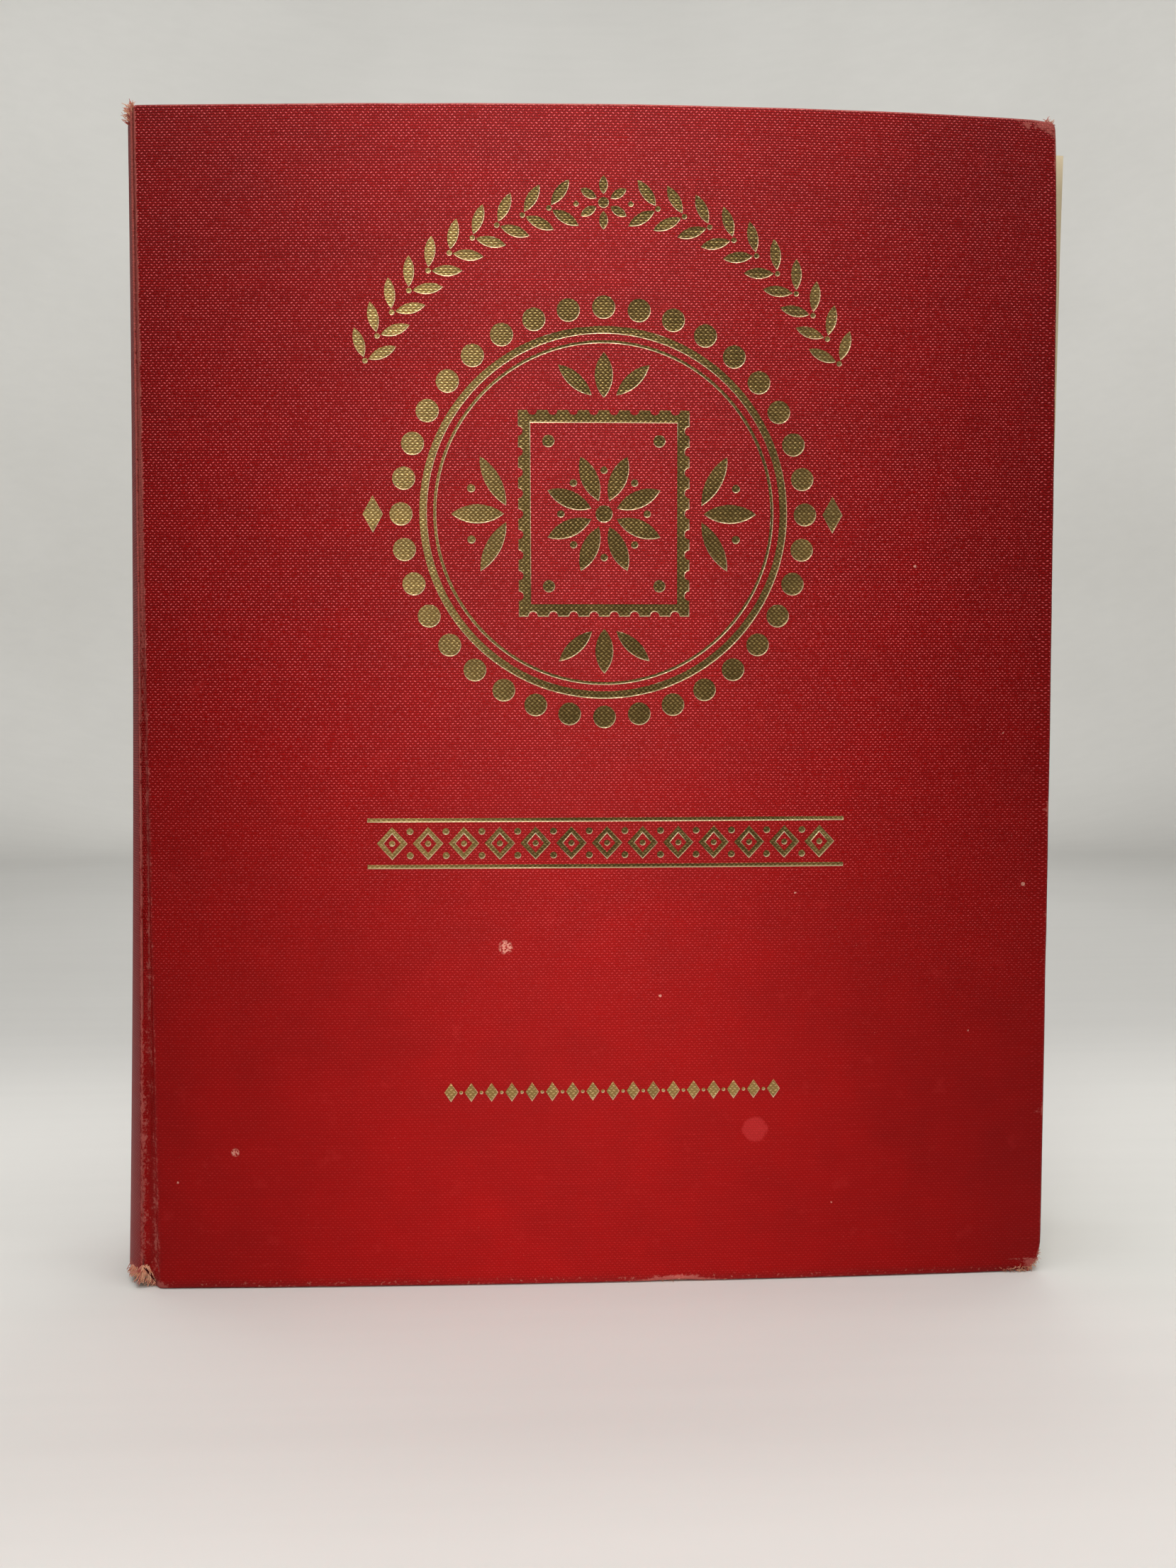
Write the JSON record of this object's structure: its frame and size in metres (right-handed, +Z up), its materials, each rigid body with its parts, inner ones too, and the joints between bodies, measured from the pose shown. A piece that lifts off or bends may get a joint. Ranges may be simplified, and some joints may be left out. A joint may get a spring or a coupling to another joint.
{
  "type": "stamp album",
  "caption": "Case-bound red cloth stamp album standing upright, with swinging covers, guarded leaves, a sewn text block and plain gold-blocked ornament on the front cover.",
  "frame": {"origin": "centre of the footprint, on the surface that the album stands on", "axes": "+Z up from tail to head; the front cover faces -Y; the spine is at -X and the fore-edge at +X"},
  "size_m": [0.2338, 0.0432, 0.292],
  "materials": {
    "red_book_cloth": "satin",
    "millboard": "matte",
    "endpaper": "matte",
    "album_paper": "matte",
    "guard_paper": "matte",
    "linen": "matte",
    "thread": "matte",
    "kraft_paper": "matte",
    "band_silk": "satin",
    "gold_foil": "polished"
  },
  "bodies": {
    "root": {"spine_inlay": "millboard", "spine_cloth": "red_book_cloth", "front_joint_cloth": "red_book_cloth", "back_joint_cloth": "red_book_cloth", "spine_lining_paper": "kraft_paper", "spine_mull": "linen", "sewing_tapes": "linen", "sewing_thread": "thread", "head_band": "band_silk", "tail_band": "band_silk", "compensation_guards": "guard_paper", "leaf_guards": "linen", "section_01": "album_paper", "section_02": "album_paper", "section_03": "album_paper", "section_04": "album_paper", "section_05": "album_paper", "section_06": "album_paper", "section_07": "album_paper", "section_08": "album_paper", "section_09": "album_paper", "section_10": "album_paper"},
    "front_cover": {"front_board": "millboard", "front_cloth": "red_book_cloth", "front_pastedown": "endpaper", "foil_garland": "gold_foil", "foil_medallion": "gold_foil", "foil_title_band": "gold_foil", "foil_foot_row": "gold_foil"},
    "back_cover": {"back_board": "millboard", "back_cloth": "red_book_cloth", "back_pastedown": "endpaper"},
    "front_flyleaf_turn": {"front_flyleaf": "endpaper"},
    "title_leaf_turn": {"title_leaf": "album_paper"},
    "album_leaf_1_turn": {"album_leaf_1": "album_paper"},
    "album_leaf_2_turn": {"album_leaf_2": "album_paper"},
    "album_leaf_3_turn": {"album_leaf_3": "album_paper"},
    "album_leaf_4_turn": {"album_leaf_4": "album_paper"},
    "back_flyleaf_turn": {"back_flyleaf": "endpaper"},
    "album_leaf_7_turn": {"album_leaf_7": "album_paper"},
    "album_leaf_6_turn": {"album_leaf_6": "album_paper"},
    "album_leaf_5_turn": {"album_leaf_5": "album_paper"}
  },
  "joints": [
    {"name": "front_cover_hinge", "type": "hinge", "parent": "root", "child": "front_cover", "pos_m": [-0.10985, -0.02154, 0.146], "axis": [0, 0, -1], "range_deg": [0, 179], "deforming": ["front_joint_cloth"]},
    {"name": "back_cover_hinge", "type": "hinge", "parent": "root", "child": "back_cover", "pos_m": [-0.10985, 0.0216, 0.146], "axis": [0, 0, 1], "range_deg": [0, 179], "deforming": ["back_joint_cloth"]},
    {"name": "front_flyleaf_gutter", "type": "hinge", "parent": "root", "child": "front_flyleaf_turn", "pos_m": [-0.10985, -0.02154, 0.146], "axis": [0, 0, -1], "range_deg": [0, 173.63]},
    {"name": "title_leaf_gutter", "type": "hinge", "parent": "root", "child": "title_leaf_turn", "pos_m": [-0.10985, -0.02154, 0.146], "axis": [0, 0, -1], "range_deg": [0, 157.52]},
    {"name": "album_leaf_1_gutter", "type": "hinge", "parent": "root", "child": "album_leaf_1_turn", "pos_m": [-0.10985, -0.02154, 0.146], "axis": [0, 0, -1], "range_deg": [0, 136.04]},
    {"name": "album_leaf_2_gutter", "type": "hinge", "parent": "root", "child": "album_leaf_2_turn", "pos_m": [-0.10985, -0.02154, 0.146], "axis": [0, 0, -1], "range_deg": [0, 110.98]},
    {"name": "album_leaf_3_gutter", "type": "hinge", "parent": "root", "child": "album_leaf_3_turn", "pos_m": [-0.10985, -0.02154, 0.146], "axis": [0, 0, -1], "range_deg": [0, 82.34]},
    {"name": "album_leaf_4_gutter", "type": "hinge", "parent": "root", "child": "album_leaf_4_turn", "pos_m": [-0.10985, -0.02154, 0.146], "axis": [0, 0, -1], "range_deg": [0, 50.12]},
    {"name": "back_flyleaf_gutter", "type": "hinge", "parent": "root", "child": "back_flyleaf_turn", "pos_m": [-0.10985, 0.0216, 0.146], "axis": [0, 0, 1], "range_deg": [0, 171.84]},
    {"name": "album_leaf_7_gutter", "type": "hinge", "parent": "root", "child": "album_leaf_7_turn", "pos_m": [-0.10985, 0.0216, 0.146], "axis": [0, 0, 1], "range_deg": [0, 136.04]},
    {"name": "album_leaf_6_gutter", "type": "hinge", "parent": "root", "child": "album_leaf_6_turn", "pos_m": [-0.10985, 0.0216, 0.146], "axis": [0, 0, 1], "range_deg": [0, 93.08]},
    {"name": "album_leaf_5_gutter", "type": "hinge", "parent": "root", "child": "album_leaf_5_turn", "pos_m": [-0.10985, 0.0216, 0.146], "axis": [0, 0, 1], "range_deg": [0, 50.12]}
  ],
  "couplings": [
    {"joint": "front_flyleaf_gutter", "follows": "front_cover_hinge", "ratio": 0.97},
    {"joint": "title_leaf_gutter", "follows": "front_cover_hinge", "ratio": 0.88},
    {"joint": "album_leaf_1_gutter", "follows": "front_cover_hinge", "ratio": 0.76},
    {"joint": "album_leaf_2_gutter", "follows": "front_cover_hinge", "ratio": 0.62},
    {"joint": "album_leaf_3_gutter", "follows": "front_cover_hinge", "ratio": 0.46},
    {"joint": "album_leaf_4_gutter", "follows": "front_cover_hinge", "ratio": 0.28},
    {"joint": "back_flyleaf_gutter", "follows": "back_cover_hinge", "ratio": 0.96},
    {"joint": "album_leaf_7_gutter", "follows": "back_cover_hinge", "ratio": 0.76},
    {"joint": "album_leaf_6_gutter", "follows": "back_cover_hinge", "ratio": 0.52},
    {"joint": "album_leaf_5_gutter", "follows": "back_cover_hinge", "ratio": 0.28}
  ]
}
